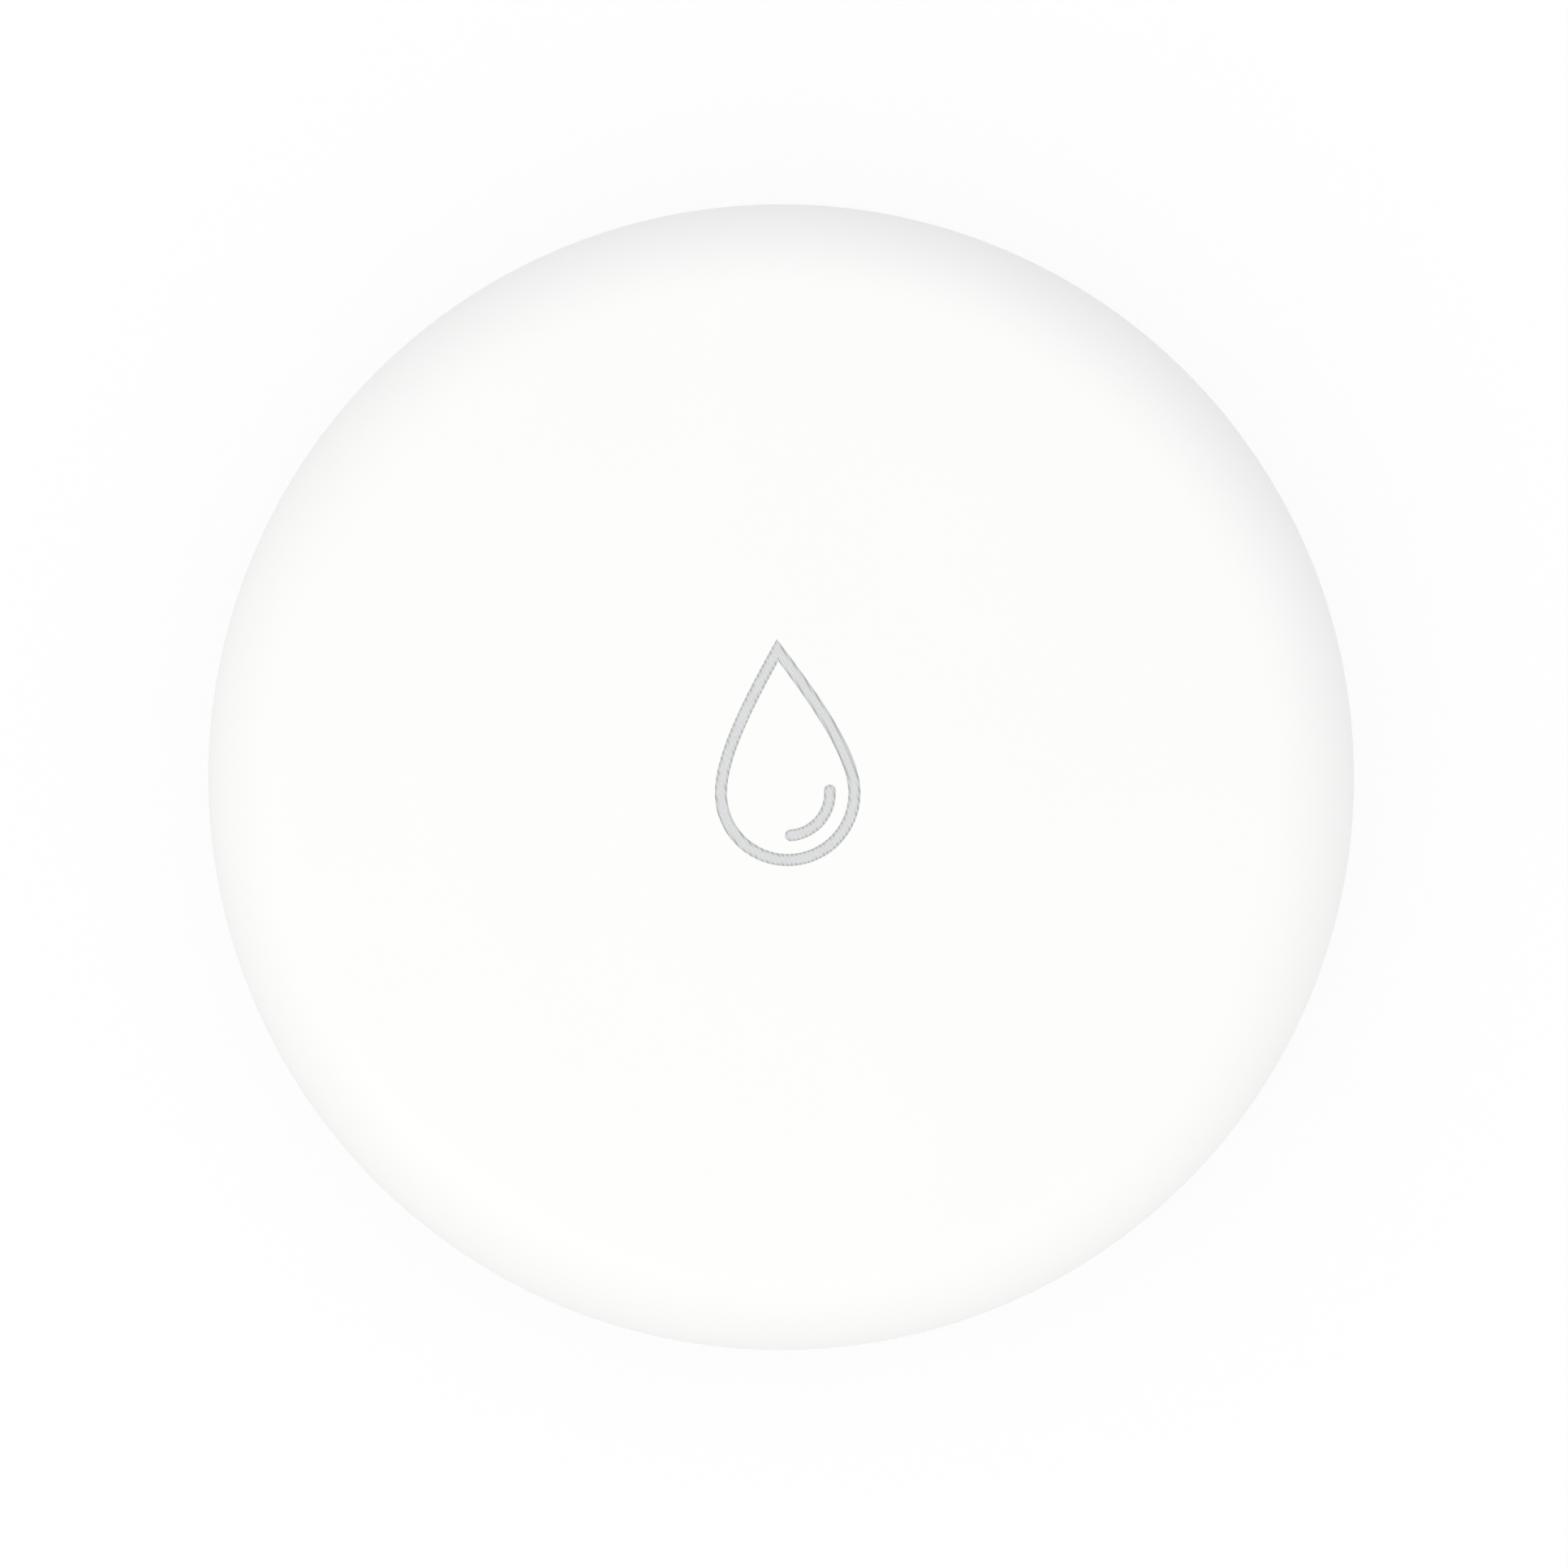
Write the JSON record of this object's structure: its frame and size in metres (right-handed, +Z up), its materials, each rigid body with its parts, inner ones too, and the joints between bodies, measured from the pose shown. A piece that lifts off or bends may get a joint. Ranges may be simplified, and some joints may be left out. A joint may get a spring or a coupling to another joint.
{
  "type": "water leak sensor",
  "caption": "Round domed floor sensor with probe screws underneath, a press switch under the cover and a coin cell behind a twist-lock door.",
  "frame": {"origin": "on the floor under the middle of the round case", "axes": "+Z up through the domed cover, +Y towards the point of the drop sign, +X to its right, through the right probe"},
  "size_m": [0.05, 0.05, 0.015],
  "materials": {
    "cover_white": "fine matte white moulding",
    "sign_grey": "grey drop sign, marked in fine lines",
    "base_white": "fine matte white moulding",
    "door_white": "fine matte white moulding",
    "seal_rubber": "soft black rubber",
    "probe_nickel": "nickel plated",
    "insert_brass": "turned brass",
    "board_green": "green solder mask",
    "chip_black": "moulded black resin",
    "contact_steel": "tinned spring steel",
    "cell_steel": "nickel plated, brushed",
    "gasket_grey": "grey polymer",
    "core_dark": "pressed dark powder",
    "capacitor_tan": "fired ceramic with tinned ends",
    "lamp_clear": "clear yellowish resin"
  },
  "bodies": {
    "housing": {"top_cover": "cover_white", "base_shell": "base_white", "seam_seal": "seal_rubber", "probe_left": "probe_nickel", "probe_right": "probe_nickel", "probe_seals": "seal_rubber", "probe_inserts": "insert_brass", "circuit_board": "board_green", "board_screws": "contact_steel", "negative_contact": "contact_steel", "positive_contact": "contact_steel", "radio_chip": "chip_black", "crystal": "contact_steel", "capacitors": "capacitor_tan", "resistors": "chip_black", "indicator_lamp": "lamp_clear", "switch_base": "chip_black", "switch_frame": "contact_steel", "switch_dome": "contact_steel"},
    "cell": {"cell_can": "cell_steel", "cell_gasket": "gasket_grey", "cell_cap": "cell_steel", "cell_core": "core_dark"},
    "door": {"battery_door": "door_white", "door_seal": "seal_rubber"},
    "plunger": {"switch_plunger": "chip_black"}
  },
  "joints": [
    {"name": "door_drop", "type": "slide", "parent": "housing", "child": "cell", "axis": [0, 0, -1], "range_m": [0, 0.0005]},
    {"name": "door_turn", "type": "hinge", "parent": "cell", "child": "door", "pos_m": [0, 0, 0.0038], "axis": [0, 0, -1], "range_deg": [0, 45]},
    {"name": "switch_press", "type": "slide", "parent": "housing", "child": "plunger", "axis": [0, 0, -1], "range_m": [0, 0.00025], "stiffness_N_per_m": 6400, "deforming": ["switch_dome"]}
  ],
  "couplings": [
    {"joint": "door_turn", "follows": "door_drop", "rad_per_m": 1570.8}
  ]
}
